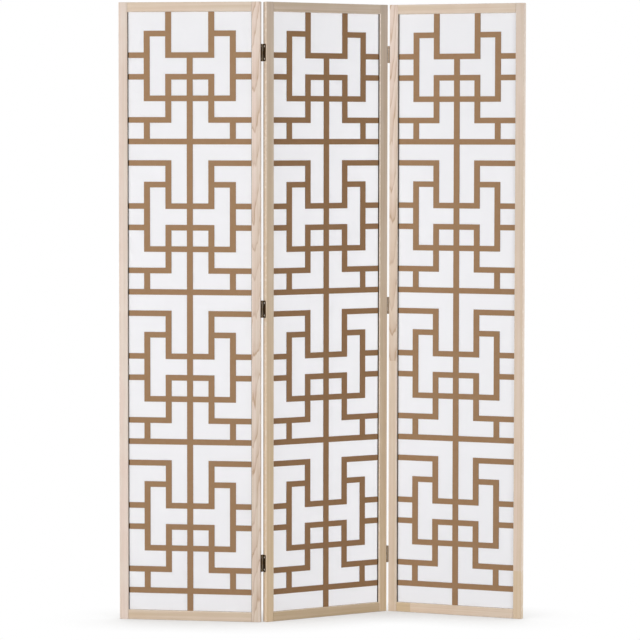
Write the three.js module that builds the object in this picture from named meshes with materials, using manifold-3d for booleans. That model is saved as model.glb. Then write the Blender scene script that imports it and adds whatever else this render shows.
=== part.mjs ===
// A shoji folding screen: three equal panels, 1.8 m tall, standing in a zigzag.
//
// Each panel is a pale wood frame, mortised and tenoned at its corners, with a fretwork lattice
// and a sheet of paper held in a rebate by four beads at the back. Three butt hinges join each
// pair of panels. The left joint has its pins behind the panels and the right joint has them in
// front, so the screen folds up flat like a letter Z.
//
// Millimetres, +Z up. The front faces -Y and the origin is on the floor under the screen's middle.

import * as THREE from 'three';
import { mergeVertices } from 'three/addons/utils/BufferGeometryUtils.js';
import Module from 'manifold-3d';

const degrees = Math.PI / 180;

// ---------------------------------------------------------------- driving dimensions

// Panel frame
const panelHeight = 1800;
const panelWidth = 418;
const panelThickness = 18;
const stileWidth = 26;
const railHeight = 28;
const arrisRadius = 1.8; // rounding along every long edge
const endChamfer = 0.8; // easing round the ends of the stiles

// Corner joints
const tenonThickness = 6;
const tenonInset = 3.5; // wood left above and below a tenon
const mortiseWall = 8; // wood left between a mortise and the stile's outer edge
const fitClearance = 0.3; // gap between pieces that seat on each other

// Rebate that holds the lattice, the paper and the beads
const frontLip = 5.5; // wood in front of the lattice
const rebateWidth = 8;
const beadRecess = 1.7; // how far the beads lie in from the back face
const beadRadius = 2.5; // rounding of a bead's showing corner

// Lattice and paper
const latticeThickness = 3;
const paperThickness = 0.4;
const uprightWidth = 17.5;
const crossbarHeight = 16.4;
const sideReveal = 1.5; // how far the lattice's side borders show past the stiles
const lowestRowDrop = 4.6; // how far the lowest row line lies below the bottom rail's top edge

// Butt hinges
const hingeHeight = 50;
const hingeFromTop = 146; // top of the panel to the middle of the top hinge
const hingeFromFloor = 171; // floor to the middle of the bottom hinge
const knuckleCount = 5;
const knuckleGap = 0.3;
const pinRadius = 1;
const pinRunningClearance = 0.07;
const pinDome = 0.5; // rounded end of the pin, past the last knuckle
const pinStandoff = 0.7; // from a panel's face out to the pin's axis
const leafThickness = 0.9;
const leafSetback = 2; // from a leaf's free edge to the panel's far face
const leafCornerRadius = 1.5;
const rollGap = 0.25; // slit where a rolled knuckle comes back to its leaf
const neckOverlap = 1; // how far a knuckle's neck runs into its leaf's plate
const screwSpacing = 36;
const screwHoleRadius = 1.5;
const screwHeadRadius = 2.7;

// How the screen stands, as angles about the vertical
const middleYaw = 32 * degrees;
const leftFold = -40.5 * degrees; // left panel against the middle one, 0 when in line
const rightFold = -54 * degrees; // right panel against the middle one, 0 when in line

// Facets of round shapes
const arrisSteps = 3;
const rollSteps = 14;
const pinSides = 12;
const holeSides = 12;

const overcut = 1; // how far a cutter runs past the faces that it cuts

// ---------------------------------------------------------------- worked out from them

const openingHalfWidth = panelWidth / 2 - stileWidth;
const openingBottom = railHeight;
const openingTop = panelHeight - railHeight;

const rebateHalfWidth = openingHalfWidth + rebateWidth;
const rebateBottom = openingBottom - rebateWidth;
const rebateTop = openingTop + rebateWidth;

const latticeFront = frontLip + fitClearance;
const latticeBack = latticeFront + latticeThickness;
const paperFront = latticeBack + fitClearance;
const paperBack = paperFront + paperThickness;
const beadFront = paperBack + fitClearance;
const beadBack = panelThickness - beadRecess;

const boreRadius = pinRadius + pinRunningClearance;
const knuckleRadius = boreRadius + leafThickness;
const hingeGap = 2 * (knuckleRadius + fitClearance); // between two stiles when the panels are in line
const leafReach = panelThickness + pinStandoff - leafSetback;
const pinOffset = (panelWidth + hingeGap) / 2; // from a panel's centre line to a pin

// ---------------------------------------------------------------- finishes

const paleWood = () => new THREE.MeshStandardMaterial({ color: 0xdac6b0, roughness: 0.62, metalness: 0 });
const brownBoard = () => new THREE.MeshStandardMaterial({ color: 0x9b7a58, roughness: 0.7, metalness: 0 });
const whitePaper = () => new THREE.MeshStandardMaterial({ color: 0xf4f3f6, roughness: 0.85, metalness: 0 });
const darkBronze = () => new THREE.MeshStandardMaterial({ color: 0x5b4a39, roughness: 0.42, metalness: 0.85 });

function piece(name, geometry, material) {
  const mesh = new THREE.Mesh(geometry, material);
  mesh.name = name;
  return mesh;
}

// ---------------------------------------------------------------- joining and cutting solids

const wasm = await Module();
wasm.setup();

function toSolid(geometry) {
  const bare = geometry.clone();
  bare.deleteAttribute('normal');
  bare.deleteAttribute('uv');
  const merged = mergeVertices(bare);
  const vertProperties = merged.attributes.position.array;
  const triVerts = Uint32Array.from(merged.index.array);
  return new wasm.Manifold(new wasm.Mesh({ numProp: 3, vertProperties, triVerts }));
}

function toGeometry(solid) {
  const mesh = solid.asOriginal().simplify().getMesh(); // flat faces lose their seams
  const geometry = new THREE.BufferGeometry();
  geometry.setAttribute('position', new THREE.BufferAttribute(mesh.vertProperties, 3));
  geometry.setIndex(new THREE.BufferAttribute(mesh.triVerts, 1));
  geometry.computeVertexNormals();
  return geometry;
}

function join(solids) {
  return solids.reduce((whole, part) => whole.add(part));
}

function cut(solid, cutters) {
  return cutters.reduce((rest, cutter) => rest.subtract(cutter), solid);
}

// ---------------------------------------------------------------- outlines and extrusions

const alongX = new THREE.Vector3(1, 0, 0);
const alongY = new THREE.Vector3(0, 1, 0);
const alongZ = new THREE.Vector3(0, 0, 1);

function arc(centreX, centreY, radius, from, to, steps) {
  const points = [];
  for (let step = 0; step <= steps; step += 1) {
    const angle = from + ((to - from) * step) / steps;
    points.push(new THREE.Vector2(centreX + radius * Math.cos(angle), centreY + radius * Math.sin(angle)));
  }
  return points;
}

// A rectangle whose corners are rounded by radii given from the lower left one, anticlockwise.
function rectangle(left, low, right, high, radii = [0, 0, 0, 0]) {
  const corners = [
    { x: left, y: low, inX: 1, inY: 1, from: Math.PI },
    { x: right, y: low, inX: -1, inY: 1, from: 1.5 * Math.PI },
    { x: right, y: high, inX: -1, inY: -1, from: 0 },
    { x: left, y: high, inX: 1, inY: -1, from: Math.PI / 2 },
  ];
  const points = corners.flatMap((corner, index) => {
    const radius = radii[index];
    if (radius === 0) {
      return [new THREE.Vector2(corner.x, corner.y)];
    }
    const centreX = corner.x + corner.inX * radius;
    const centreY = corner.y + corner.inY * radius;
    return arc(centreX, centreY, radius, corner.from, corner.from + Math.PI / 2, arrisSteps);
  });
  return new THREE.Shape(points);
}

function extrude(outline, depth, bevel = {}) {
  return new THREE.ExtrudeGeometry(outline, { depth, bevelEnabled: false, ...bevel });
}

// An outline in x and y, carried up from one height to another.
function upright(outline, low, high) {
  return extrude(outline, high - low).translate(0, 0, low);
}

// An outline in y and z, carried across from one x to another.
function crosswise(outline, left, right) {
  const turn = new THREE.Matrix4().makeBasis(alongY, alongZ, alongX);
  return extrude(outline, right - left).applyMatrix4(turn).translate(left, 0, 0);
}

// An outline in x and z, carried back from one depth to another.
function facing(outline, front, back) {
  const turn = new THREE.Matrix4().makeBasis(alongX, alongZ, alongY.clone().negate());
  return extrude(outline, back - front).applyMatrix4(turn).translate(0, back, 0);
}

// ---------------------------------------------------------------- frame

const allArrises = [arrisRadius, arrisRadius, arrisRadius, arrisRadius];

// One rectangular recess is routed into the back of the whole frame, past its back face.
function rebateCutter() {
  const outline = rectangle(-rebateHalfWidth, rebateBottom, rebateHalfWidth, rebateTop);
  return toSolid(facing(outline, frontLip, panelThickness + overcut));
}

// The bottom rail's tenon on the left, or the hole for it when grown by the fit clearance.
function tenon(growth) {
  const middle = panelThickness / 2;
  const section = rectangle(
    middle - tenonThickness / 2 - growth,
    tenonInset - growth,
    middle + tenonThickness / 2 + growth,
    railHeight - rebateWidth - tenonInset + growth,
  );
  const tip = panelWidth / 2 - mortiseWall - fitClearance;
  return toSolid(crosswise(section, -tip - growth, -openingHalfWidth + 2 * fitClearance));
}

// The stile on the left. The one on the right is the same piece turned over.
function stileGeometry() {
  const section = rectangle(-panelWidth / 2, 0, -openingHalfWidth, panelThickness, allArrises);
  const easing = {
    bevelEnabled: true,
    bevelThickness: endChamfer,
    bevelSize: endChamfer,
    bevelOffset: -endChamfer,
    bevelSegments: 1,
  };
  const blank = extrude(section, panelHeight - 2 * endChamfer, easing).translate(0, 0, endChamfer);
  const mortise = tenon(fitClearance);
  const upperMortise = mortise.mirror([0, 0, 1]).translate([0, 0, panelHeight]);
  return toGeometry(cut(toSolid(blank), [mortise, upperMortise, rebateCutter()]));
}

// The bottom rail, with a tenon at each end. The top rail is the same piece turned over.
function railGeometry() {
  const section = rectangle(0, 0, panelThickness, railHeight, allArrises);
  const halfLength = openingHalfWidth - fitClearance;
  const blank = toSolid(crosswise(section, -halfLength, halfLength));
  const leftTenon = tenon(0);
  const rightTenon = leftTenon.mirror([1, 0, 0]);
  return toGeometry(cut(join([blank, leftTenon, rightTenon]), [rebateCutter()]));
}

// ---------------------------------------------------------------- lattice

// Lines of the lattice's grid: column lines 0 to 6 from the left, row lines 0 to 28 from the top.
// The outermost column lines run behind the stiles, so that a border shows by the side reveal.
const columnCount = 6;
const figureCount = 4;
const figureRows = 7;
const rowCount = figureCount * figureRows;
const halfUpright = uprightWidth / 2;
const halfCrossbar = crossbarHeight / 2;
const columnPitch = (2 * (openingHalfWidth + halfUpright - sideReveal)) / columnCount;
const rowPitch = (openingTop - openingBottom + lowestRowDrop) / rowCount;

// One figure of the pattern, in column lines and in rows below the full-width bar that it hangs from.
// A crossbar runs from one column line to another, and an upright from one row to another.
const figureCrossbars = [
  { row: 1, runs: [[0, 2], [4, 6]] },
  { row: 2, runs: [[1, 2], [4, 5]] },
  { row: 3, runs: [[0, 1], [2, 4], [5, 6]] },
  { row: 4, runs: [[0, 1], [2, 4], [5, 6]] },
  { row: 5, runs: [[1, 5]] },
  { row: 6, runs: [[0, 2], [4, 6]] },
  { row: 7, runs: [[0, 6]] },
];
const figureUprights = [
  { column: 1, runs: [[2, 5], [6, 7]] },
  { column: 2, runs: [[1, 3], [4, 6]] },
  { column: 3, runs: [[0, 7]] },
  { column: 4, runs: [[1, 3], [4, 6]] },
  { column: 5, runs: [[2, 5], [6, 7]] },
];
const centreColumn = columnCount / 2;
const crownRow = 3; // in the top figure the centre upright starts at this row, under an open square

function latticeBar(fromColumn, toColumn, fromRow, toRow) {
  const left = (fromColumn - centreColumn) * columnPitch - halfUpright;
  const right = (toColumn - centreColumn) * columnPitch + halfUpright;
  const low = openingTop - toRow * rowPitch - halfCrossbar;
  const high = openingTop - fromRow * rowPitch + halfCrossbar;
  return toSolid(facing(rectangle(left, low, right, high), latticeFront, latticeBack));
}

function figureBars(figure) {
  // The row line that the figure hangs from. The top rail stands in for the topmost one.
  const hangingRow = figure * figureRows - 1;
  const crossbars = figureCrossbars
    .filter(({ row }) => hangingRow + row > 0)
    .flatMap(({ row, runs }) => runs.map(([from, to]) => {
      return latticeBar(from, to, hangingRow + row, hangingRow + row);
    }));
  const uprights = figureUprights.flatMap(({ column, runs }) => runs.map(([from, to]) => {
    const start = figure === 0 && column === centreColumn ? crownRow : from;
    return latticeBar(column, column, hangingRow + start, hangingRow + to);
  }));
  return [...crossbars, ...uprights];
}

// The board's own outline, which fills the rebate.
function sheetOutline() {
  return rectangle(
    -rebateHalfWidth + fitClearance,
    rebateBottom + fitClearance,
    rebateHalfWidth - fitClearance,
    rebateTop - fitClearance,
  );
}

function latticeGeometry() {
  const board = toSolid(facing(sheetOutline(), latticeFront, latticeBack));
  const halfWindow = openingHalfWidth - sideReveal;
  const window = rectangle(-halfWindow, openingBottom, halfWindow, openingTop);
  const border = board.subtract(toSolid(facing(window, latticeFront - overcut, latticeBack + overcut)));
  const figures = Array.from({ length: figureCount }, (_, figure) => figureBars(figure)).flat();
  const lastUpright = latticeBar(centreColumn, centreColumn, rowCount - 1, rowCount);
  return toGeometry(join([border, ...figures, lastUpright]).intersect(board));
}

function paperGeometry() {
  return facing(sheetOutline(), paperFront, paperBack);
}

// ---------------------------------------------------------------- beads

const beadOuterHalfWidth = rebateHalfWidth - fitClearance;
const beadOuterBottom = rebateBottom + fitClearance;
const beadOuterTop = rebateTop - fitClearance;
const mitreSetback = fitClearance * Math.SQRT1_2; // along a bead, on each side of a mitre

// The bead along the bottom, mitred at both ends. The top one is the same piece turned over.
function crosswiseBeadGeometry() {
  const radii = [0, 0, beadRadius, 0];
  const section = rectangle(beadFront, beadOuterBottom, beadBack, openingBottom, radii);
  const strip = toSolid(crosswise(section, -beadOuterHalfWidth, beadOuterHalfWidth));
  const mitred = new THREE.Shape([
    new THREE.Vector2(-beadOuterHalfWidth + mitreSetback, beadOuterBottom),
    new THREE.Vector2(beadOuterHalfWidth - mitreSetback, beadOuterBottom),
    new THREE.Vector2(openingHalfWidth - mitreSetback, openingBottom),
    new THREE.Vector2(-openingHalfWidth + mitreSetback, openingBottom),
  ]);
  return toGeometry(strip.intersect(toSolid(facing(mitred, beadFront - overcut, beadBack + overcut))));
}

// The bead on the left, mitred at both ends. The right one is the same piece turned over.
function uprightBeadGeometry() {
  const radii = [0, 0, beadRadius, 0];
  const section = rectangle(-beadOuterHalfWidth, beadFront, -openingHalfWidth, beadBack, radii);
  const strip = toSolid(upright(section, beadOuterBottom, beadOuterTop));
  const mitred = new THREE.Shape([
    new THREE.Vector2(-beadOuterHalfWidth, beadOuterBottom + mitreSetback),
    new THREE.Vector2(-openingHalfWidth, openingBottom + mitreSetback),
    new THREE.Vector2(-openingHalfWidth, openingTop - mitreSetback),
    new THREE.Vector2(-beadOuterHalfWidth, beadOuterTop - mitreSetback),
  ]);
  return toGeometry(strip.intersect(toSolid(facing(mitred, beadFront - overcut, beadBack + overcut))));
}

// ---------------------------------------------------------------- one panel

const shapes = {
  stile: stileGeometry(),
  rail: railGeometry(),
  lattice: latticeGeometry(),
  paper: paperGeometry(),
  uprightBead: uprightBeadGeometry(),
  crosswiseBead: crosswiseBeadGeometry(),
};

// A panel's x runs from its centre line, its y from its front face and its z from the floor.
function makePanel(side) {
  const panel = new THREE.Group();
  const add = (name, geometry, material, isTurnedOver = false) => {
    const mesh = piece(`${side}_${name}`, geometry, material);
    if (isTurnedOver) {
      mesh.rotation.y = Math.PI;
      mesh.position.z = panelHeight;
    }
    panel.add(mesh);
  };
  add('stile_left', shapes.stile, paleWood());
  add('stile_right', shapes.stile, paleWood(), true);
  add('rail_bottom', shapes.rail, paleWood());
  add('rail_top', shapes.rail, paleWood(), true);
  add('lattice', shapes.lattice, brownBoard());
  add('paper', shapes.paper, whitePaper());
  add('bead_left', shapes.uprightBead, paleWood());
  add('bead_right', shapes.uprightBead, paleWood(), true);
  add('bead_bottom', shapes.crosswiseBead, paleWood());
  add('bead_top', shapes.crosswiseBead, paleWood(), true);
  return panel;
}

// ---------------------------------------------------------------- hinges

const knucklePitch = hingeHeight / knuckleCount;
const allKnuckles = Array.from({ length: knuckleCount }, (_, index) => index);
const innerKnuckles = allKnuckles.filter((index) => index % 2 === 0);
const outerKnuckles = allKnuckles.filter((index) => index % 2 === 1);

// A hinge's x and y run from its pin's axis and its z from its mid-height. This leaf lies on the
// side of -x and reaches towards -y. Its sheet is rolled round the pin to make each knuckle, whose
// neck runs back into the plate.
function knuckle(index) {
  const rollEnd = -Math.acos(-(boreRadius - rollGap) / knuckleRadius);
  const neckEnd = -knuckleRadius - knuckleGap - neckOverlap;
  const outline = new THREE.Shape([
    new THREE.Vector2(-knuckleRadius, neckEnd),
    ...arc(0, 0, knuckleRadius, Math.PI, rollEnd, rollSteps),
    ...arc(0, 0, boreRadius, rollEnd, Math.PI, rollSteps),
    new THREE.Vector2(-boreRadius, neckEnd),
  ]);
  const low = -hingeHeight / 2 + index * knucklePitch + knuckleGap / 2;
  return toSolid(upright(outline, low, low + knucklePitch - knuckleGap));
}

// A countersunk hole, drawn past both faces of the leaf.
function screwHole(height) {
  const slope = (screwHeadRadius - screwHoleRadius) / leafThickness;
  const margin = screwHoleRadius / slope / 2;
  const cone = new THREE.CylinderGeometry(
    screwHeadRadius + slope * margin,
    screwHoleRadius - slope * margin,
    leafThickness + 2 * margin,
    holeSides,
  );
  cone.rotateZ(-Math.PI / 2);
  const middleOfStile = -pinStandoff - panelThickness / 2;
  cone.translate(-boreRadius - leafThickness / 2, middleOfStile, height);
  return toSolid(cone);
}

function leafGeometry(knuckles) {
  const notchEdge = -knuckleRadius - knuckleGap;
  const halfHeight = hingeHeight / 2;
  const corners = [leafCornerRadius, 0, 0, leafCornerRadius];
  const plateOutline = rectangle(-leafReach, -halfHeight, notchEdge, halfHeight, corners);
  const plate = toSolid(crosswise(plateOutline, -knuckleRadius, -boreRadius));
  const leaf = join([plate, ...knuckles.map(knuckle)]);
  return toGeometry(cut(leaf, [screwHole(-screwSpacing / 2), screwHole(screwSpacing / 2)]));
}

function pinGeometry() {
  const halfLength = hingeHeight / 2;
  const profile = [
    new THREE.Vector2(0, -halfLength - pinDome),
    new THREE.Vector2(pinRadius * Math.SQRT1_2, -halfLength - pinDome * Math.SQRT1_2),
    new THREE.Vector2(pinRadius, -halfLength),
    new THREE.Vector2(pinRadius, halfLength),
    new THREE.Vector2(pinRadius * Math.SQRT1_2, halfLength + pinDome * Math.SQRT1_2),
    new THREE.Vector2(0, halfLength + pinDome),
  ];
  return new THREE.LatheGeometry(profile, pinSides).rotateX(Math.PI / 2);
}

const innerLeaf = leafGeometry(innerKnuckles);
const outerLeaf = leafGeometry(outerKnuckles);
const hingePin = pinGeometry();

const hingeTopHeight = panelHeight - hingeFromTop;
const hingeLevels = [
  { level: 'top', height: hingeTopHeight },
  { level: 'middle', height: (hingeTopHeight + hingeFromFloor) / 2 },
  { level: 'bottom', height: hingeFromFloor },
];

// Hangs an outer panel on the middle one. The three hinges of a joint share one axis.
function hangPanel(middlePanel, outerPanel, joint) {
  const pivot = new THREE.Group();
  pivot.position.copy(joint.pin);
  pivot.rotation.z = joint.fold;
  outerPanel.position.set(joint.pin.x, -joint.pin.y, 0);
  pivot.add(outerPanel);
  for (const { level, height } of hingeLevels) {
    const name = `${joint.side}_hinge_${level}`;
    const outer = piece(`${name}_outer_leaf`, outerLeaf, darkBronze());
    outer.rotation.copy(joint.outerLeafTurn);
    outer.position.z = height;
    pivot.add(outer);

    const inner = piece(`${name}_inner_leaf`, innerLeaf, darkBronze());
    inner.rotation.copy(joint.innerLeafTurn);
    const pin = piece(`${name}_pin`, hingePin, darkBronze());
    for (const mesh of [inner, pin]) {
      mesh.position.set(joint.pin.x, joint.pin.y, height);
      middlePanel.add(mesh);
    }
  }
  middlePanel.add(pivot);
}

// ---------------------------------------------------------------- the screen

const leftJoint = {
  side: 'left',
  pin: new THREE.Vector3(-pinOffset, panelThickness + pinStandoff, 0),
  fold: leftFold,
  outerLeafTurn: new THREE.Euler(0, 0, 0),
  innerLeafTurn: new THREE.Euler(0, Math.PI, 0),
};
const rightJoint = {
  side: 'right',
  pin: new THREE.Vector3(pinOffset, -pinStandoff, 0),
  fold: rightFold,
  outerLeafTurn: new THREE.Euler(0, 0, Math.PI),
  innerLeafTurn: new THREE.Euler(Math.PI, 0, 0),
};

const middlePanel = makePanel('middle');
middlePanel.rotation.z = middleYaw;
hangPanel(middlePanel, makePanel('left'), leftJoint);
hangPanel(middlePanel, makePanel('right'), rightJoint);

const screen = new THREE.Group();
screen.add(middlePanel);

// Stands the screen with the middle of its footprint on the origin.
const footprint = new THREE.Box3().setFromObject(screen, true).getCenter(new THREE.Vector3());
screen.position.set(-footprint.x, -footprint.y, 0);
screen.updateMatrixWorld(true);

export default screen;
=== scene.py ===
# %% [markdown]
# # A folding screen with paper panels
# Three tall wooden frames hang on each other by small butt hinges. Each frame holds a thin brown board
# cut into a fretwork, and a sheet of white paper lies behind the board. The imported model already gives
# every piece its real size and place. This script adds what the eye reads next: the timber's grain, the
# board, the paper, the bronze, the screws in the hinges, and a plain studio to see them in.
#
# Lengths are in metres, +Z is up and the screen faces -Y.

import math
import random

import bmesh
import bpy
from mathutils import Color, Matrix, Vector


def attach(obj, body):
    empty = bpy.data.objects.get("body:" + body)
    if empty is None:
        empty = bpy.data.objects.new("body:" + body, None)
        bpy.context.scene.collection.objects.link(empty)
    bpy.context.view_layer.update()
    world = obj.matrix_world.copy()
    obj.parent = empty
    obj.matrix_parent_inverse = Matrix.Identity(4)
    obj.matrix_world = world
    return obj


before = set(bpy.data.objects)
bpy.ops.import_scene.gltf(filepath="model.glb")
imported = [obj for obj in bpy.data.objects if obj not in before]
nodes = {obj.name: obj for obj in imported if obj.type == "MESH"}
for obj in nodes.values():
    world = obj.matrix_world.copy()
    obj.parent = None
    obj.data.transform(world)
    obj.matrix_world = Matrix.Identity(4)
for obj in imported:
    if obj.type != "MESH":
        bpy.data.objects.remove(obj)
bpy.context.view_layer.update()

# %% [markdown]
# ## Three panels, three frames of reference
# The screen stands in a zigzag, so no panel lies along the world's axes. Grain has to run along a rail
# and not along the world's X, and a screw has to sit square in its leaf. Typing each angle again would
# work, but the angles are already in the model: the broadest face of a sheet of paper looks straight
# out of its panel. Its normal gives the turn that brings a panel's own axes back to x across, y from
# the front to the back, and z up.

# %% Turning the world into a panel
PANELS = ("left", "middle", "right")


def to_panel(panel):
    """The turn from the world's axes to a panel's own."""
    sheet = nodes[f"{panel}_paper"].data
    broadest = max(sheet.polygons, key=lambda face: face.area)
    front = broadest.normal if broadest.normal.y < 0 else -broadest.normal
    return Matrix.Rotation(-math.atan2(front.x, -front.y), 3, "Z")


def turned_box(node, turn):
    """The lowest and the highest corner of a node, along turned axes."""
    axes = list(zip(*(turn @ vertex.co for vertex in nodes[node].data.vertices)))
    return Vector([min(axis) for axis in axes]), Vector([max(axis) for axis in axes])


turns = {panel: to_panel(panel) for panel in PANELS}
for panel in PANELS:
    yaw = -turns[panel].to_euler().z
    print(panel, "panel stands at", round(math.degrees(yaw), 2), "degrees")

# %% [markdown]
# ## Shader maths as Python
# A procedural finish is mostly arithmetic: a mask times a colour, one minus a mask, a distance divided
# by a width. Placing Math nodes one by one hides that arithmetic in wiring. So one small class wraps a
# socket, and its operators add the Math nodes. Numbers that don't vary are worked out in Python first.
# Every other kind of node comes from a single method, which makes its settings before it fills its
# sockets, because a setting can change which sockets a node has.

# %% A socket that can be added and multiplied
class Socket:
    """One output of a shader node."""

    def __init__(self, finish, output):
        self.finish = finish
        self.output = output

    def math(self, operation, *terms):
        return self.finish.node("Math", {"operation": operation}, dict(enumerate(terms)))

    def __add__(self, other):
        return self.math("ADD", self, other)

    def __sub__(self, other):
        return self.math("SUBTRACT", self, other)

    def __rsub__(self, other):
        return self.math("SUBTRACT", other, self)

    def __mul__(self, other):
        return self.math("MULTIPLY", self, other)

    def __truediv__(self, other):
        return self.math("DIVIDE", self, other)

    def __rtruediv__(self, other):
        return self.math("DIVIDE", other, self)

    def __abs__(self):
        return self.math("ABSOLUTE", self)

    def fraction(self):
        return self.math("FRACT", self)

    def larger(self, other):
        return self.math("MAXIMUM", self, other)

    __radd__ = __add__
    __rmul__ = __mul__


# %% A material in the making
class Finish:
    """A material whose nodes are added one expression at a time."""

    def __init__(self, name):
        self.material = bpy.data.materials.new(name)
        self.material.use_nodes = True
        self.tree = self.material.node_tree
        self.tree.nodes.clear()

    def node(self, kind, settings=None, inputs=None, output=None):
        """Adds a node. Inputs go by name, or by number where several share a name."""
        made = self.tree.nodes.new("ShaderNode" + kind)
        for setting, value in (settings or {}).items():
            if setting == "stops":
                self.set_stops(made.color_ramp, value)
            else:
                setattr(made, setting, value)
        for key, value in (inputs or {}).items():
            named = [socket for socket in made.inputs if socket.enabled and socket.name == key]
            socket = named[0] if named else made.inputs[key]
            if isinstance(value, Socket):
                self.tree.links.new(value.output, socket)
            else:
                socket.default_value = value
        usable = [socket for socket in made.outputs if socket.enabled]
        chosen = made.outputs[output] if output else usable[0]
        return Socket(self, chosen)

    @staticmethod
    def set_stops(ramp, stops):
        """Gives a ramp its grey stops, as pairs of a position and a level."""
        while len(ramp.elements) < len(stops):
            ramp.elements.new(1.0)
        for element, (position, level) in zip(ramp.elements, stops):
            element.position = position
            element.color = (level, level, level, 1.0)

    def blend(self, share, first, second):
        """Mixes two colours by a share."""
        return self.node("Mix", {"data_type": "RGBA"}, {"Factor": share, "A": first, "B": second})

    def tint(self, colour, factor):
        """Multiplies a colour by a value, which lightens or darkens it."""
        grey = self.node("CombineColor", inputs={"Red": factor, "Green": factor, "Blue": factor})
        return self.node(
            "Mix", {"data_type": "RGBA", "blend_type": "MULTIPLY"}, {"Factor": 1.0, "A": colour, "B": grey}
        )

    def fade(self, value, start, end):
        """Rises smoothly from 0 at one level of a value to 1 at another."""
        return self.node(
            "MapRange",
            {"interpolation_type": "SMOOTHSTEP"},
            {"Value": value, "From Min": start, "From Max": end, "To Min": 0.0, "To Max": 1.0},
        )

    def noise(self, vector, scale, detail=2.0, roughness=0.5):
        """A soft random pattern from 0 to 1, with so many patches to a unit of length."""
        return self.node(
            "TexNoise", inputs={"Vector": vector, "Scale": scale, "Detail": detail, "Roughness": roughness}
        )

    def stretch(self, vector, factors):
        """Scales a vector along its own axes."""
        return self.node("VectorMath", {"operation": "MULTIPLY"}, {0: vector, 1: factors})

    def shift(self, vector, way):
        """Moves a vector by another one."""
        return self.node("VectorMath", {"operation": "ADD"}, {0: vector, 1: way})

    def axis(self, vector, name):
        """One of a vector's three numbers."""
        return self.node("SeparateXYZ", inputs={"Vector": vector}, output=name)

    def length(self, vector):
        """How long a vector is."""
        return self.node("VectorMath", {"operation": "LENGTH"}, {0: vector}, output="Value")

    def surface(self, shader):
        """Puts a shader on the surface, and gives the finished material."""
        output = self.tree.nodes.new("ShaderNodeOutputMaterial")
        self.tree.links.new(shader.output, output.inputs["Surface"])
        return self.material


# %% [markdown]
# ## Colours as they look on a screen
# A maker matches a finish by eye, in the numbers that a screen shows from 0 to 255. Shaders work in
# linear light, so each colour is converted once, where it is named.

# %% Screen colours
FULL_CHANNEL = 255


def screen_colour(red, green, blue):
    """A colour from 0 to 255 a channel, in linear light."""
    seen = Color([channel / FULL_CHANNEL for channel in (red, green, blue)])
    return (*seen.from_srgb_to_scene_linear(), 1.0)


MILLIMETRES = 1000.0  # a shader's own unit here, so that its scales read as sizes on the wood


def piece_space(finish, turn, centre):
    """Coordinates in millimetres from a piece's centre, along turned axes. They move with the piece."""
    start = finish.node("TexCoord", output="Object")
    return finish.node(
        "Mapping",
        {"vector_type": "POINT"},
        {
            "Vector": start,
            "Scale": Vector((MILLIMETRES,) * 3),
            "Rotation": turn.to_euler(),
            "Location": -(turn @ centre) * MILLIMETRES,
        },
    )


# %% [markdown]
# ## Timber
# The frames are planed softwood, pale and straight in the grain, under a thin matt lacquer. A picture
# of wood pasted on each face would break at every corner. Real grain is a solid: growth rings are
# nested cylinders, and a plank is a straight cut through them. So the shader measures each point's
# distance from the heart of an imaginary log, and lays a ring every few millimetres. Stiles, rails and
# beads are each cut from a place of their own in that log. Where the heart lies beside a plank, its face
# shows straight lines. Where the heart lies behind it, the face is flat-sawn and shows long arches, as
# the inner stiles of the two outer panels do. The ends of the stiles then show arcs by themselves.
#
# Finer layers lie on the rings: slow changes from pale to rose, long streaks as wide as a finger, short
# fibres along the grain, and edges and narrow faces a little lighter, partly polished by handling and
# partly a painted highlight where the lamps catch them.

# %% Timber: where a plank was cut
FLAT_SAWN = {"left_stile_right", "right_stile_left"}
HEART_BESIDE = (40, 90)  # millimetres from the plank to the log's heart, least and most
HEART_OFF_LEVEL = (-30, 30)
HEART_OFF_CENTRE = (-18, -10)  # these two are for a flat-sawn plank
HEART_BEHIND = (50, 65)
PLACE_IN_LOG = (-900, 900)
RING_SPACING = 3.1
FLAT_RING_SPACING = 4.6
RING_CONTRAST = 0.5
FLAT_RING_CONTRAST = 1.3
LOG_LEAN = 0.008  # how far the heart moves for each millimetre along the plank
FLAT_LOG_LEAN = 0.05
LEAN_SIDEWAYS = 0.3
LEAN_BACKWARD = (0.7, 1)


def cut_from_log(name):
    """Where the log's heart lies from a plank, and how it leans. Fixed by the plank's name."""
    chance = random.Random(name)
    side = chance.choice((-1, 1))
    beside = Vector((side * chance.uniform(*HEART_BESIDE), chance.uniform(*HEART_OFF_LEVEL), 0))
    behind = Vector((chance.uniform(*HEART_OFF_CENTRE), chance.uniform(*HEART_BEHIND), 0))
    way = Vector((LEAN_SIDEWAYS * chance.uniform(-1, 1), chance.uniform(*LEAN_BACKWARD), 0))
    flat_sawn = name in FLAT_SAWN
    return {
        "heart": behind if flat_sawn else beside,
        "lean": way * (FLAT_LOG_LEAN if flat_sawn else LOG_LEAN),
        "spacing": FLAT_RING_SPACING if flat_sawn else RING_SPACING,
        "contrast": FLAT_RING_CONTRAST if flat_sawn else RING_CONTRAST,
        "along": chance.uniform(*PLACE_IN_LOG),
    }


print("flat-sawn planks:", sorted(FLAT_SAWN))
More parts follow.
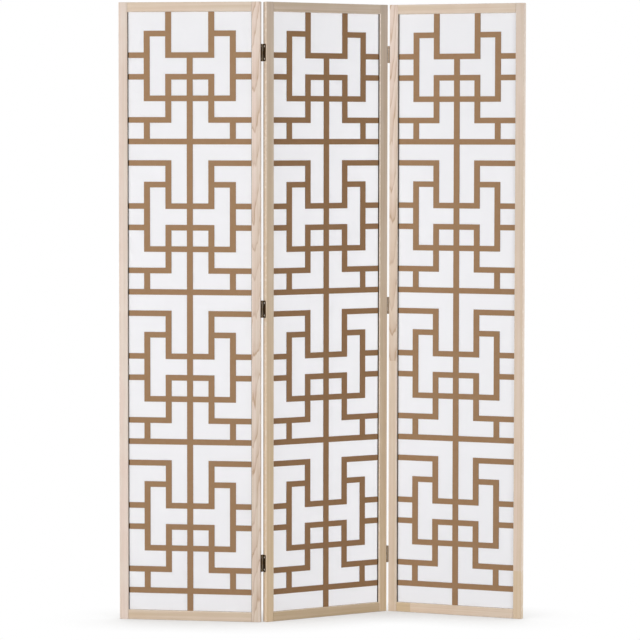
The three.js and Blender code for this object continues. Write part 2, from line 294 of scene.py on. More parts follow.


# %% [markdown]
# No two planks are alike, and few keep one tone from end to end. Most of these turn from pale at the head
# to straw at the foot. That change is partly the wood's own tone and partly painted light: warmer and
# darker low down, where less lamp light reaches, and each end's lightness also paints how the lamps fall
# on that plank. A plank's tone is given as how straw and how light it is at its foot and at its head. A
# rail lies down, so its foot is its left end.

# %% Timber: the tone and painted light of each plank
# straw at the foot and at the head, then lightness at the foot and at the head, each partly painted light
PLANK_TONES_AND_LIGHT = {
    "left_stile_left": (0.0, 0.0, 1.09, 0.95),
    "left_stile_right": (0.25, 0.0, 0.99, 1.03),
    "left_rail_bottom": (0.6, 0.45, 0.96, 0.97),
    "left_rail_top": (0.4, 0.4, 0.95, 0.92),
    "middle_stile_left": (0.95, 0.5, 1.13, 0.88),
    "middle_stile_right": (0.95, 0.35, 1.04, 0.79),
    "middle_rail_bottom": (0.95, 0.95, 0.95, 0.94),
    "middle_rail_top": (0.45, 0.45, 0.94, 0.94),
    "right_stile_left": (0.55, 0.0, 0.97, 1.04),
    "right_stile_right": (0.4, 0.3, 1.06, 0.92),
    "right_rail_bottom": (0.5, 0.45, 1.05, 1.01),
    "right_rail_top": (0.4, 0.4, 0.97, 0.94),
    "right_stile_right lower length": (0.75, 0.6, 1.01, 1.01),
    "right_rail_bottom lower length": (1.1, 1.1, 0.93, 0.93),
}
BEAD_TONE = (0.4, 0.3, 1.0, 1.0)
print("planks with a tone of their own:", len(PLANK_TONES_AND_LIGHT))


# %% Timber: rings and fibres
# a scale is patches to a millimetre across the grain, a stretch is the share of it left along the
# grain, and a fade is the two levels of a pattern between which a mask rises from 0 to 1
RING_STOPS = [(0.0, 0.1), (0.5, 0.2), (0.82, 0.45), (0.93, 1.0), (1.0, 0.1)]
WANDER_SCALE = 0.035
WANDER_STRETCH = 0.12
WANDER_RINGS = 2.4  # how many rings' width a ring may stray
FIBRE_WIDTH = 0.55
FIBRE_STRETCH = 0.018
STREAK_WIDTH = 7.0
STREAK_STRETCH = 0.014
STREAK_FADE = (0.3, 0.7)


def ring_layer(finish, along_grain, plank):
    """The growth rings, 0 in spring wood and up to 1 in the thin dark line of summer wood."""
    shifted = finish.shift(along_grain, (0, 0, plank["along"]))
    apart = finish.axis(shifted, "Z")
    lean = finish.node("CombineXYZ", inputs={"X": apart * plank["lean"].x, "Y": apart * plank["lean"].y})
    from_heart = finish.shift(along_grain, -plank["heart"])
    flat = finish.stretch(finish.shift(from_heart, lean), (1, 1, 0))
    wander = finish.noise(finish.stretch(shifted, (1, 1, WANDER_STRETCH)), WANDER_SCALE, detail=3.0)
    rings = finish.length(flat) / plank["spacing"] + wander * WANDER_RINGS
    return finish.node("ValToRGB", {"stops": RING_STOPS}, {"Fac": rings.fraction()})


def fibre_layer(finish, along_grain):
    """Short fibres along the grain, from 0 to 1."""
    drawn = finish.stretch(along_grain, (1, 1, FIBRE_STRETCH))
    return finish.noise(drawn, 1 / FIBRE_WIDTH, detail=3.0, roughness=0.6)


def streak_layer(finish, along_grain):
    """Long streaks along the grain, from 0 to 1."""
    drawn = finish.stretch(along_grain, (1, 1, STREAK_STRETCH))
    return finish.fade(finish.noise(drawn, 1 / STREAK_WIDTH), *STREAK_FADE)


# %% Timber: worn edges and their painted highlight
CORNER_WIDTH = 0.4  # millimetres, fully worn
EDGE_BAND = 2.6  # where the wear has faded out
SKIN = 0.6  # how deep the narrow face's own tone reaches
SKIN_FULL = 0.1  # and the depth to which it is complete


def edge_wear_and_highlight(finish, along_grain, half):
    """1 along a plank's corners and over its narrow faces, and 0 on the rest of it."""
    places = finish.node("VectorMath", {"operation": "ABSOLUTE"}, {0: along_grain})
    across = finish.axis(places, "X")
    inward = (half.x - across).larger(half.y - finish.axis(places, "Y"))
    narrow_face = finish.fade(across, half.x - SKIN, half.x - SKIN_FULL)
    return (1 - finish.fade(inward, CORNER_WIDTH, EDGE_BAND)).larger(narrow_face)


# %% [markdown]
# Long rails and stiles of this kind are often glued up from shorter lengths with a finger joint. The
# right panel shows three: low on its outer stile, halfway down its inner stile, and near the left end
# of its bottom rail. Each side of such a joint is its own plank, so the shader works out two timbers
# and lets a line choose between them. The fingers are cut across the plank's thickness, so that line is
# straight on the face and a zigzag on the edge.

# %% Timber: a finger joint
FINGER_LENGTH = 9.0
FINGER_PITCH = 6.5
GLUE_LINE = 0.4


def finger_joint(finish, along_grain, height):
    """0 below a finger joint and 1 above it."""
    along = finish.axis(along_grain, "Z")
    deep = finish.axis(along_grain, "Y")
    zigzag = abs((deep / FINGER_PITCH).fraction() - 0.5) * (2 * FINGER_LENGTH)
    return finish.fade(along + zigzag, height, height + GLUE_LINE)


# %% Timber: the colour of one plank
PALE_WOOD = screen_colour(231, 218, 208)
ROSE_WOOD = screen_colour(229, 208, 198)
STRAW_WOOD = screen_colour(222, 198, 162)
SUMMER_WOOD = screen_colour(196, 167, 142)
ROSE_SCALE = 0.03
ROSE_STRETCH = 0.2
ROSE_FADE = (0.35, 0.65)
ROSE_MOST = 0.5
STREAK_STRAW = 0.3  # how much more straw one streak is than another
STREAK_SHADE = 0.06  # and how much darker
FIBRE_SHADE = 0.1
BOLD_SCALE = 0.012  # patches where the rings show more boldly
BOLD_STRETCH = 0.3  # this one is across the grain
BOLD_FADE = (0.35, 0.65)
FAINT_RINGS = 0.45  # how much of a ring shows outside those patches
RING_RELIEF = 0.5  # how high a ring stands, beside a fibre


def plank_colour(finish, along_grain, name, tone, half_length):
    """The colour of one plank's wood, and the height of its grain."""
    plank = cut_from_log(name)
    foot_straw, head_straw, foot_light, head_light = tone
    raised = 0.5 + finish.axis(along_grain, "Z") / (2 * half_length)
    moved = finish.shift(along_grain, plank["heart"])
    rings = ring_layer(finish, along_grain, plank)
    fibres = fibre_layer(finish, moved)
    streaks = streak_layer(finish, moved)
    drift = finish.noise(finish.stretch(moved, (1, 1, ROSE_STRETCH)), ROSE_SCALE)
    rosy = finish.blend(finish.fade(drift, *ROSE_FADE) * ROSE_MOST, PALE_WOOD, ROSE_WOOD)
    # straw and lightness from foot to head: partly the plank's own tone, partly painted light and shade
    straw = foot_straw + raised * (head_straw - foot_straw) + (streaks - 0.5) * STREAK_STRAW
    spring = finish.blend(straw, rosy, STRAW_WOOD)
    patches = finish.noise(finish.stretch(moved, (BOLD_STRETCH, BOLD_STRETCH, 1)), BOLD_SCALE)
    bold = FAINT_RINGS + finish.fade(patches, *BOLD_FADE) * (1 - FAINT_RINGS)
    ringed = finish.blend(rings * bold * plank["contrast"], spring, SUMMER_WOOD)
    light = foot_light + raised * (head_light - foot_light)
    light = light + (fibres - 0.5) * FIBRE_SHADE - (streaks - 0.5) * STREAK_SHADE
    return finish.tint(ringed, light), rings * RING_RELIEF + fibres


# %% Timber: one piece's material
END_WOOD = screen_colour(188, 158, 124)
END_SHARE = 0.7
END_FADE = (0.6, 0.9)  # how far up or down a face looks, where 1 is straight
# edges and narrow faces turn lighter, partly from handling and partly as a painted highlight
WORN_AND_LIT_WOOD = screen_colour(240, 230, 220)
WEAR_AND_HIGHLIGHT_LEAST = 0.2
WEAR_AND_HIGHLIGHT_MORE = 0.4  # where scuffs lie on the edge too
SCUFF_SCALE = 0.12
SCUFF_FADE = (0.45, 0.7)
STILE_LEAST_LENGTH = 1000.0
GRAIN_DEPTH = 0.00012  # metres, as every depth of a relief here
LACQUER_ROUGHNESS = 0.6
EDGE_POLISH = 0.12  # how much smoother handling leaves an edge
PORE_ROUGHNESS = 0.06  # how much rougher the low spots of the grain are


def timber(name, turn, centre, half, tone, joint_height=None):
    """A timber material for a piece with its grain along the turned z axis."""
    finish = Finish(name + "_timber")
    along_grain = piece_space(finish, turn, centre)
    colour, relief = plank_colour(finish, along_grain, name, tone, half.z)
    if joint_height is not None:
        lower = name + " lower length"
        lower_tone = PLANK_TONES_AND_LIGHT.get(lower, tone)
        other_colour, other_relief = plank_colour(finish, along_grain, lower, lower_tone, half.z)
        above = finger_joint(finish, along_grain, joint_height)
        colour = finish.blend(above, other_colour, colour)
        relief = above * relief + (1 - above) * other_relief
    edges = edge_wear_and_highlight(finish, along_grain, half)
    scuffs = finish.fade(finish.noise(along_grain, SCUFF_SCALE, detail=4.0), *SCUFF_FADE)
    # corners and narrow faces lightened: partly handling wear, partly a painted highlight
    colour = finish.blend(edges * (WEAR_AND_HIGHLIGHT_LEAST + scuffs * WEAR_AND_HIGHLIGHT_MORE), colour, WORN_AND_LIT_WOOD)
    if half.z * 2 > STILE_LEAST_LENGTH:
        upward = finish.axis(finish.node("NewGeometry", output="Normal"), "Z")
        colour = finish.blend(finish.fade(abs(upward), *END_FADE) * END_SHARE, colour, END_WOOD)
    bump = finish.node("Bump", inputs={"Strength": 0.25, "Distance": GRAIN_DEPTH, "Height": relief})
    shader = finish.node(
        "BsdfPrincipled",
        inputs={
            "Base Color": colour,
            "Roughness": LACQUER_ROUGHNESS - edges * EDGE_POLISH + (1 - relief) * PORE_ROUGHNESS,
            "Normal": bump,
            "Specular IOR Level": 0.35,
        },
    )
    return finish.surface(shader)


# %% [markdown]
# Each stile, rail and bead gets its own material, because each is its own plank. A stile's grain runs up
# and a rail's runs across, so a rail's axes take one more quarter turn that lays its x along z.

# %% Timber: on the frames and beads
LAY_ALONG = Matrix.Rotation(-math.pi / 2, 3, "Y")  # brings a panel's x to z
STILES = ("stile_left", "stile_right", "bead_left", "bead_right")
RAILS = ("rail_bottom", "rail_top", "bead_bottom", "bead_top")
# millimetres along the grain, from the plank's middle
JOINT_HEIGHTS = {"right_stile_right": -757.0, "right_stile_left": -150.0, "right_rail_bottom": -137.0}


def dress(node, material):
    """Gives a node one material."""
    nodes[node].data.materials.clear()
    nodes[node].data.materials.append(material)


for panel in PANELS:
    for part in STILES + RAILS:
        node = f"{panel}_{part}"
        turn = LAY_ALONG @ turns[panel] if part in RAILS else turns[panel]
        low, high = turned_box(node, turn)
        centre = turn.transposed() @ ((low + high) / 2)
        half = (high - low) / 2 * MILLIMETRES
        tone = PLANK_TONES_AND_LIGHT.get(node, BEAD_TONE)
        material = timber(node, turn, centre, half, tone, JOINT_HEIGHTS.get(node))
        dress(node, material)
print("planks:", len(PANELS) * len(STILES + RAILS))

# %% [markdown]
# ## The fretwork board
# The lattice isn't built of sticks. It is one thin board, faced in brown and cut out, so its bars share
# one flat face with no joints and no grain that turns at the corners. What gives it life is small: a
# faint mottle in the facing, fine fibres that all run upward, and cut walls that show the darker core.
# The walls are found by their direction: they stand square to the board's face. Along both sides, where
# the board slips behind the stiles, a painted shadow darkens it, wider on the side where the stile casts
# it.

# %% Board
BOARD_FACE = screen_colour(163, 131, 99)
BOARD_WARM = screen_colour(157, 121, 86)
BOARD_CORE = screen_colour(104, 76, 50)
# a painted shadow along the sides of the opening, wider on the side where the stile casts its shadow
BOARD_PAINTED_SHADOW = screen_colour(48, 30, 15)
OPENING_HALF_WIDTH = 183.0
PAINTED_SHADOW_WIDTHS = {"left": (3.5, 1.7), "middle": (1.7, 3.5), "right": (3.5, 1.7)}  # on the left and the right
PAINTED_SHADOW_BLUR = 0.3
# the boards differ a little in tone, and the middle one is painted much warmer and darker as painted shade
# for the panel turned from the key lamp
BOARD_WARMTH_AND_SHADE = {"left": 0.2, "middle": 0.75, "right": 0.3}
MOTTLE_SCALE = 0.06
MOTTLE_FADE = (0.3, 0.7)
MOTTLE_WARMTH = 0.3
BOARD_FIBRE_SCALE = 1.1
BOARD_FIBRE_STRETCH = 0.05
BOARD_FIBRE_SHADE = 0.1
BOARD_FIBRE_DEPTH = 0.0001
WALL_FADE = (0.3, 0.6)  # how far forward a surface looks, where 1 is straight
CORE_SHARE = 0.8
FACING_ROUGHNESS = 0.62
MOTTLE_ROUGHNESS = 0.1
CORE_ROUGHNESS = 0.15  # how much rougher the sawn core is


def board(panel):
    """The brown facing and the darker cut core of a fretwork board."""
    finish = Finish(panel + "_board")
    turn = turns[panel]
    low, high = turned_box(f"{panel}_lattice", turn)
    place = piece_space(finish, turn, turn.transposed() @ ((low + high) / 2))
    mottle = finish.noise(place, MOTTLE_SCALE, detail=4.0)
    upward = finish.stretch(place, (1, 1, BOARD_FIBRE_STRETCH))
    fibres = finish.noise(upward, BOARD_FIBRE_SCALE, detail=3.0, roughness=0.6)
    warmth_and_shade = finish.fade(mottle, *MOTTLE_FADE) * MOTTLE_WARMTH + BOARD_WARMTH_AND_SHADE[panel]
    face = finish.blend(warmth_and_shade, BOARD_FACE, BOARD_WARM)
    face = finish.tint(face, 1 - BOARD_FIBRE_SHADE / 2 + fibres * BOARD_FIBRE_SHADE)
    normal = finish.node("NewGeometry", output="Normal")
    own_normal = finish.node(
        "VectorTransform",
        {"vector_type": "NORMAL", "convert_from": "WORLD", "convert_to": "OBJECT"},
        {"Vector": normal},
    )
    front = turn.transposed() @ Vector((0, -1, 0))
    towards = finish.node(
        "VectorMath", {"operation": "DOT_PRODUCT"}, {0: own_normal, 1: front}, output="Value"
    )
    wall = 1 - finish.fade(abs(towards), *WALL_FADE)
    across = finish.axis(place, "X")
    # the painted shadow of the stiles, on both sides of the opening
    left_edge, right_edge = (OPENING_HALF_WIDTH - width for width in PAINTED_SHADOW_WIDTHS[panel])
    shadow_on_left = finish.fade(across, -left_edge, -left_edge - PAINTED_SHADOW_BLUR)
    painted_shadow = shadow_on_left + finish.fade(across, right_edge, right_edge + PAINTED_SHADOW_BLUR)
    colour = finish.blend(wall * CORE_SHARE, face, BOARD_CORE)
    colour = finish.blend(painted_shadow, colour, BOARD_PAINTED_SHADOW)
    bump = finish.node("Bump", inputs={"Strength": 0.2, "Distance": BOARD_FIBRE_DEPTH, "Height": fibres})
    shader = finish.node(
        "BsdfPrincipled",
        inputs={
            "Base Color": colour,
            "Roughness": FACING_ROUGHNESS + mottle * MOTTLE_ROUGHNESS + wall * CORE_ROUGHNESS,
            "Specular IOR Level": 0.2,
            "Normal": bump,
        },
    )
    return finish.surface(shader)


for panel in PANELS:
    dress(f"{panel}_lattice", board(panel))
print("boards:", len(PANELS))

# %% [markdown]
# ## The paper
# The sheet is why such a screen glows: light that falls on its back comes through to the front. A plain
# white surface would go grey wherever a panel turns from the lamp. So the paper mixes two shaders, one
# that scatters light back and one that lets it through, and the sheet's two faces do the rest. Long
# loose fibres and a cloudy thickness give the slight unevenness of real paper.

# %% Paper
PAPER_WHITE = screen_colour(250, 250, 252)
PAPER_FIBRE = screen_colour(240, 240, 241)
SHARE_THROUGH = 0.83
CLOUD_SCALE = 0.02
CLOUD_SHARE = 0.25  # how far a cloud goes towards the fibres' colour
CLOUD_THICKNESS = 0.08
FIBRE_SHARE = 0.35
FIBRE_THICKNESS = 0.05
STRAND_SCALE = 0.5
STRAND_STRETCH = 0.12
STRAND_FADE = (0.62, 0.74)
STRAND_DEPTH = 0.0001
SWIRL_SCALE = 0.03
SWIRL_REACH = 60.0  # millimetres that a strand may stray
# each sheet is a darker copy of the same paper: a painted shade for how much light reaches its panel
PAPER_PAINTED_SHADES = {"left": 0.955, "middle": 0.995, "right": 0.925}


def paper(panel):
    """White fibrous paper that lets much of its light through."""
    finish = Finish(panel + "_sheet")
    # the painted shade of this panel's sheet
    shade = PAPER_PAINTED_SHADES[panel]
    glow = (*(channel * shade for channel in PAPER_WHITE[:3]), 1.0)
    turn = turns[panel]
    low, high = turned_box(f"{panel}_paper", turn)
    place = piece_space(finish, turn, turn.transposed() @ ((low + high) / 2))
    stray = finish.node("TexNoise", inputs={"Vector": place, "Scale": SWIRL_SCALE}, output="Color")
    swirl = finish.shift(place, finish.stretch(stray, (SWIRL_REACH, SWIRL_REACH, SWIRL_REACH)))
    strands = finish.noise(finish.stretch(swirl, (1, 1, STRAND_STRETCH)), STRAND_SCALE)
    crossing = finish.noise(finish.stretch(swirl, (STRAND_STRETCH, 1, 1)), STRAND_SCALE)
    fibres = finish.fade(strands.larger(crossing), *STRAND_FADE)
    cloud = finish.noise(place, CLOUD_SCALE, detail=3.0)
    white = finish.blend(fibres * FIBRE_SHARE + cloud * CLOUD_SHARE, PAPER_WHITE, PAPER_FIBRE)
    colour = finish.tint(white, shade)
    bump = finish.node(
        "Bump", inputs={"Strength": 0.15, "Distance": STRAND_DEPTH, "Height": fibres + cloud}
    )
    scattered = finish.node(
        "BsdfPrincipled",
        inputs={"Base Color": colour, "Roughness": 0.85, "Specular IOR Level": 0.3, "Normal": bump},
    )
    through = finish.node("BsdfTranslucent", inputs={"Color": glow, "Normal": bump})
    share = SHARE_THROUGH + (cloud - 0.5) * CLOUD_THICKNESS - fibres * FIBRE_THICKNESS
    return finish.surface(finish.node("MixShader", inputs={0: share, 1: scattered, 2: through}))


for panel in PANELS:
    dress(f"{panel}_paper", paper(panel))
print("paper lets through", SHARE_THROUGH, "of the light")

# %% [markdown]
# ## Bronze hinges
# The leaves are thin steel, plated and darkened to an old bronze. The knuckles carry a painted highlight,
# lighter and greyer, brightest at the left joint and dimmer at the right. A leaf and its knuckles are one
# rolled sheet, so the shader tells them apart by their distance from the pin's axis. A noise picks worn
# spots, and a finer one breaks up the shine. The screws are painted near white, partly their bright
# plating and partly a painted glint.

# %% Bronze and screws
LEAF_METAL = 0.75  # how metallic, because the rest is the dull brown skin of the plating
LEAF_ROUGHNESS = 0.38
LEAF_DARK = screen_colour(88, 64, 36)
LEAF_WORN = screen_colour(140, 112, 76)
# the knuckles' colours are a painted highlight, dimmer at the right joint
KNUCKLE_HIGHLIGHTS = {"left": screen_colour(206, 182, 148), "right": screen_colour(168, 151, 130)}
KNUCKLE_REACH = 2.3  # millimetres from the pin's axis
SCREW_METAL = 0.3
SCREW_ROUGHNESS = 0.3
# the screws are painted near white: partly their bright plating, partly a painted glint in place of the
# light they catch
SCREW_PAINTED_GLINT = screen_colour(236, 228, 212)
SCREW_WORN_GLINT = screen_colour(248, 242, 230)
PATCH_SCALE = 0.35
PATCH_FADE = (0.5, 0.75)
PATCH_SHARE = 0.6
PATCH_POLISH = 0.1  # how much smoother a worn spot is
SPECK_SCALE = 2.2
SPECK_DEPTH = 0.00004
SPECK_ROUGHNESS = 0.16
HIGHLIGHT_BLUR = 0.3
HIGHLIGHT_LEAST = 0.7


def bronze(name, dark, worn, metal, roughness, axis=None, knuckle_highlight=None):
    """A plated metal that has worn in spots, with a painted highlight around an upright axis if one is
    given.
    """
    finish = Finish(name)
    place = piece_space(finish, Matrix.Identity(3), axis or Vector())
    patches = finish.fade(finish.noise(place, PATCH_SCALE, detail=4.0, roughness=0.65), *PATCH_FADE)
    specks = finish.noise(place, SPECK_SCALE, detail=3.0)
    colour = finish.blend(patches * PATCH_SHARE, dark, worn)
    if axis:
        distance = finish.length(finish.stretch(place, (1, 1, 0)))
        # the painted highlight covers the knuckles, within reach of the pin's axis
        highlighted = finish.fade(distance, KNUCKLE_REACH, KNUCKLE_REACH - HIGHLIGHT_BLUR)
        colour = finish.blend(highlighted * (HIGHLIGHT_LEAST + specks * (1 - HIGHLIGHT_LEAST)), colour, knuckle_highlight)
    shine = roughness + specks * SPECK_ROUGHNESS - patches * PATCH_POLISH
    bump = finish.node("Bump", inputs={"Strength": 0.2, "Distance": SPECK_DEPTH, "Height": specks})
    shader = finish.node(
        "BsdfPrincipled",
        inputs={"Base Color": colour, "Metallic": metal, "Roughness": shine, "Normal": bump},
    )
    return finish.surface(shader)


for side in ("left", "right"):
    low, high = turned_box(f"{side}_hinge_top_pin", Matrix.Identity(3))
    leaf_bronze = bronze(
        f"{side}_hinge_bronze", LEAF_DARK, LEAF_WORN, LEAF_METAL, LEAF_ROUGHNESS,
        axis=(low + high) / 2, knuckle_highlight=KNUCKLE_HIGHLIGHTS[side],
    )
    hinge_pieces = [name for name in nodes if name.startswith(f"{side}_hinge")]
    for name in hinge_pieces:
        dress(name, leaf_bronze)
    print(side, "joint has", len(hinge_pieces), "pieces of bronze")
screw_steel = bronze("screw_steel", SCREW_PAINTED_GLINT, SCREW_WORN_GLINT, SCREW_METAL, SCREW_ROUGHNESS)

# %% [markdown]
# ## Screws
# Each leaf is held by two countersunk screws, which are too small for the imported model. A screw could be
# a textured dot, but light catches its rim and cross slot even from far away, so it is modelled: a
# turned profile for the head and shank, with the cross cut out by a boolean. It is made once, and all
# the screws share its mesh.

# %% One screw
SCREW_HEAD_RADIUS = 0.0026
SCREW_HEAD_DEPTH = 0.0013
SCREW_DOME = 0.00035
SHANK_RADIUS = 0.0012
SHANK_LENGTH = 0.009
SLOT_LENGTH = 0.0031
SLOT_WIDTH = 0.00075
SLOT_DEPTH = 0.0009
TURNED_SIDES = 32
DOME_STEPS = 5
WELD_DISTANCE = 0.00001


def screw_profile():
    """Radius and height from the tip to the crown, with the leaf's outer face at height 0."""
    crown = []
    for step in range(1, DOME_STEPS + 1):
        angle = math.pi / 2 * step / DOME_STEPS
        crown.append((SCREW_HEAD_RADIUS * math.cos(angle), SCREW_DOME * math.sin(angle)))
    shank = [
        (0.0, -SHANK_LENGTH),
        (SHANK_RADIUS, -SHANK_LENGTH + 2 * SHANK_RADIUS),
        (SHANK_RADIUS, -SCREW_HEAD_DEPTH),
    ]
    return shank + [(SCREW_HEAD_RADIUS, 0.0)] + crown


def turned_mesh(name, profile):
    """Spins a profile round z into a closed mesh."""
    shape = bmesh.new()
    points = [shape.verts.new((radius, 0, height)) for radius, height in profile]
    edges = [shape.edges.new(pair) for pair in zip(points, points[1:])]
    bmesh.ops.spin(
        shape, geom=points + edges, cent=(0, 0, 0), axis=(0, 0, 1), angle=2 * math.pi, steps=TURNED_SIDES
    )
    bmesh.ops.remove_doubles(shape, verts=shape.verts, dist=WELD_DISTANCE)
    bmesh.ops.recalc_face_normals(shape, faces=shape.faces)
    mesh = bpy.data.meshes.new(name)
    shape.to_mesh(mesh)
    shape.free()
    return mesh


def cross_cutter():
    """Two crossed bars, the shape of the driver's tip."""
    shape = bmesh.new()
    for length, width in ((SLOT_LENGTH, SLOT_WIDTH), (SLOT_WIDTH, SLOT_LENGTH)):
        scale = Matrix.Diagonal((length, width, 2 * SLOT_DEPTH, 1))
        bmesh.ops.create_cube(shape, size=1.0, matrix=Matrix.Translation((0, 0, SCREW_DOME)) @ scale)
    mesh = bpy.data.meshes.new("cross_cutter")
    shape.to_mesh(mesh)
    shape.free()
    return mesh


def screw_mesh():
    """A screw with its cross slot cut."""
    blank = bpy.data.objects.new("screw_blank", turned_mesh("screw_blank", screw_profile()))
    cutter = bpy.data.objects.new("cross_cutter", cross_cutter())
    for part in (blank, cutter):
        bpy.context.scene.collection.objects.link(part)
    boolean = blank.modifiers.new("cross", "BOOLEAN")
    boolean.operation = "DIFFERENCE"
    boolean.object = cutter
    boolean.solver = "EXACT"
    boolean.use_self = True
    bpy.context.view_layer.update()
    cut = bpy.data.meshes.new_from_object(blank.evaluated_get(bpy.context.evaluated_depsgraph_get()))
    for part in (blank, cutter):
        bpy.data.objects.remove(part)
    cut.name = "hinge_screw"
    return cut


screw = screw_mesh()
screw.materials.append(screw_steel)
print("a screw has", len(screw.polygons), "faces")

# %% [markdown]
# A leaf lies flat on the edge of a stile. Seen along its panel's own axes, its plate is a slab across x,
# so the screws point along x, at half the stile's depth, and sit on the plate's bare side. That side
# looks away from the panel's middle. Each cross stops at its own angle, as a hand-driven screw does.

# %% Screws in the leaves
SCREW_SPACING = 0.036
LEAF_THICKNESS = 0.0009
FIT_CLEARANCE = 0.0003
LEVELS = ("top", "middle", "bottom")


def drive_screws(leaf, panel, body):
    """Puts two screws in a leaf that is let onto an edge of a panel."""
    turn = turns[panel]
    leaf_low, leaf_high = turned_box(leaf, turn)
    stiles = [turned_box(f"{panel}_{stile}", turn) for stile in ("stile_left", "stile_right")]
    (left_low, left_high), (right_low, right_high) = stiles
    on_right = leaf_low.x > (left_high.x + right_low.x) / 2
    edge = right_high.x if on_right else left_low.x
    outward = 1 if on_right else -1
    depth = (left_low.y + left_high.y) / 2
    height = (leaf_low.z + leaf_high.z) / 2
    for number, side in enumerate((-1, 1)):
        name = f"{leaf}_screw_{'lower' if side < 0 else 'upper'}"
        piece = bpy.data.objects.new(name, screw)
        bpy.context.scene.collection.objects.link(piece)
        place = Vector((
            edge + outward * (FIT_CLEARANCE + LEAF_THICKNESS),
            depth,
            height + side * SCREW_SPACING / 2,
        ))
        twist = Matrix.Rotation(random.Random(name).uniform(0, math.pi), 3, "Z")
        aim = Matrix.Rotation(outward * math.pi / 2, 3, "Y")
        upright = turn.transposed()
        piece.matrix_world = Matrix.Translation(upright @ place) @ (upright @ aim @ twist).to_4x4()
        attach(piece, body)


for side in ("left", "right"):
    for level in LEVELS:
        drive_screws(f"{side}_hinge_{level}_outer_leaf", side, f"{side}_panel")
        drive_screws(f"{side}_hinge_{level}_inner_leaf", "middle", "middle_panel")
print("screws driven:", screw.users)

# %% [markdown]
# ## Floor and background
# The screen stands in a white studio. A floor lit until it turned white would also light the screen from
# below, so the floor stays a warm pale grey to every other ray, and only the camera sees it turn white.
# Close to the feet, where the screen hides part of the sky, the grey floor with its shadow shows again.
# The world is white to the camera and in reflections, and a soft even sky to everything else.

# %% Floor
WHITE = (1, 1, 1, 1)
FLOOR_HALF_WIDTH = 30.0
FLOOR_GREY = screen_colour(213, 210, 206)
SHADOW_REACH = 0.25
SHADOW_DEPTH = 1.0
OPENNESS_SAMPLES = 16


def floor_material():
    """Pale to the light that bounces off it, and white to the camera where nothing stands near."""
    finish = Finish("studio_floor")
    grey = finish.node("BsdfDiffuse", inputs={"Color": FLOOR_GREY})
    white = finish.node("Emission", inputs={"Color": WHITE, "Strength": 1.0})
    seen = finish.node("LightPath", output="Is Camera Ray")
    openness = finish.node(
        "AmbientOcclusion", {"samples": OPENNESS_SAMPLES}, {"Distance": SHADOW_REACH}, output="AO"
    )
    share = seen * (1 - (1 - openness) * SHADOW_DEPTH)
    return finish.surface(finish.node("MixShader", inputs={0: share, 1: grey, 2: white}))


def lay_floor():
    """A wide floor that counts as the stage and not as a piece."""
    shape = bmesh.new()
    bmesh.ops.create_grid(shape, x_segments=1, y_segments=1, size=FLOOR_HALF_WIDTH)
    mesh = bpy.data.meshes.new("floor")
    shape.to_mesh(mesh)
    shape.free()
    mesh.materials.append(floor_material())
    floor = bpy.data.objects.new("floor", mesh)
    bpy.context.scene.collection.objects.link(floor)


lay_floor()
print("the shadow reaches", SHADOW_REACH, "m from the feet")

# %% World
SKY_LIGHT = 0.3


def studio_world():
    """White to the camera and in reflections, and a soft even light on everything else."""
    world = bpy.data.worlds.new("studio")
    world.use_nodes = True
    tree = world.node_tree
    tree.nodes.clear()
    path = tree.nodes.new("ShaderNodeLightPath")
    seen = tree.nodes.new("ShaderNodeMath")
    seen.operation = "MAXIMUM"
    tree.links.new(path.outputs["Is Camera Ray"], seen.inputs[0])
    tree.links.new(path.outputs["Is Glossy Ray"], seen.inputs[1])
    sky = tree.nodes.new("ShaderNodeBackground")
    sky.inputs["Strength"].default_value = SKY_LIGHT
    sky.inputs["Color"].default_value = WHITE
    white = tree.nodes.new("ShaderNodeBackground")
    white.inputs["Color"].default_value = WHITE
    mixed = tree.nodes.new("ShaderNodeMixShader")
    tree.links.new(seen.outputs[0], mixed.inputs[0])
    tree.links.new(sky.outputs[0], mixed.inputs[1])
    tree.links.new(white.outputs[0], mixed.inputs[2])
    output = tree.nodes.new("ShaderNodeOutputWorld")
    tree.links.new(mixed.outputs[0], output.inputs["Surface"])
    bpy.context.scene.world = world


studio_world()
print("the sky gives", SKY_LIGHT, "of full white")

# %% [markdown]
# ## Lamps
# One big soft lamp stands far to the front left, above head height. It makes the left and right panels
# bright, leaves the middle panel a third darker, and draws the thin shadow beside each left stile. A
# second lamp on the right lifts the middle panel, and a narrow one level with the screen catches the
# edges that face right. The last one stands behind the screen and shines through the paper.

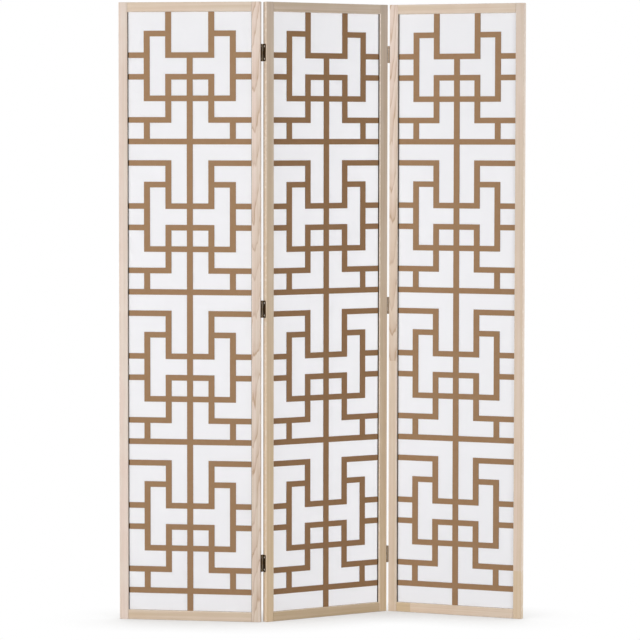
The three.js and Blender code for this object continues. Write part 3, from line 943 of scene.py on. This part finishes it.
# %% Lamps
def soft_lamp(name, place, target, width, height, power, colour):
    """A rectangular lamp that faces its target."""
    lamp = bpy.data.lights.new(name, "AREA")
    lamp.shape = "RECTANGLE"
    lamp.size = width
    lamp.size_y = height
    lamp.energy = power
    lamp.color = colour
    holder = bpy.data.objects.new(name, lamp)
    holder.location = place
    holder.rotation_euler = (Vector(target) - Vector(place)).to_track_quat("-Z", "Y").to_euler()
    bpy.context.scene.collection.objects.link(holder)
    print(name, "gives", power, "watts from", place)


SCREEN_MIDDLE = (0.0, 0.0, 0.95)
soft_lamp("key_lamp", (-4.2, -4.2, 2.7), SCREEN_MIDDLE, 1.6, 1.8, 215.0, (1.0, 0.99, 0.98))
soft_lamp("side_lamp", (3.7, -2.6, 1.6), SCREEN_MIDDLE, 1.4, 1.8, 37.0, (1.0, 1.0, 1.0))
soft_lamp("edge_lamp", (3.0, 0.3, 1.1), SCREEN_MIDDLE, 0.6, 1.6, 28.0, (1.0, 1.0, 1.0))
soft_lamp("back_lamp", (-0.4, 4.95, 0.8), SCREEN_MIDDLE, 3.0, 1.6, 194.0, (0.99, 1.0, 1.0))

# %% [markdown]
# ## Camera
# The photograph was taken from about nine metres with a long lens, a little above the middle of the
# screen and tipped down to look at it. These values were found by matching the corners of the panels
# and the crossings of the fretwork.

# %% Camera
CAMERA_PLACE = Vector((0.0226, -9.1994, 1.4197))
CAMERA_YAW = math.radians(0.179)
CAMERA_PITCH = math.radians(3.389)
CAMERA_ROLL = math.radians(0.072)
FOCAL_PIXELS = 3141.4
FRAME_PIXELS = 640
SENSOR_WIDTH = 36.0
SIGHT_LIMIT = 200.0


def set_camera():
    """A long lens at the place from which the screen was seen."""
    lens = bpy.data.cameras.new("camera")
    lens.sensor_width = SENSOR_WIDTH
    lens.lens = FOCAL_PIXELS / FRAME_PIXELS * SENSOR_WIDTH
    lens.clip_end = SIGHT_LIMIT
    camera = bpy.data.objects.new("camera", lens)
    turn = Matrix.Rotation(CAMERA_YAW, 4, "Z") @ Matrix.Rotation(math.pi / 2 - CAMERA_PITCH, 4, "X")
    camera.matrix_world = Matrix.Translation(CAMERA_PLACE) @ turn @ Matrix.Rotation(CAMERA_ROLL, 4, "Z")
    bpy.context.scene.collection.objects.link(camera)
    bpy.context.scene.camera = camera
    print("the lens is", round(lens.lens, 1), "mm long")


set_camera()
bpy.context.scene.view_settings.view_transform = "Standard"
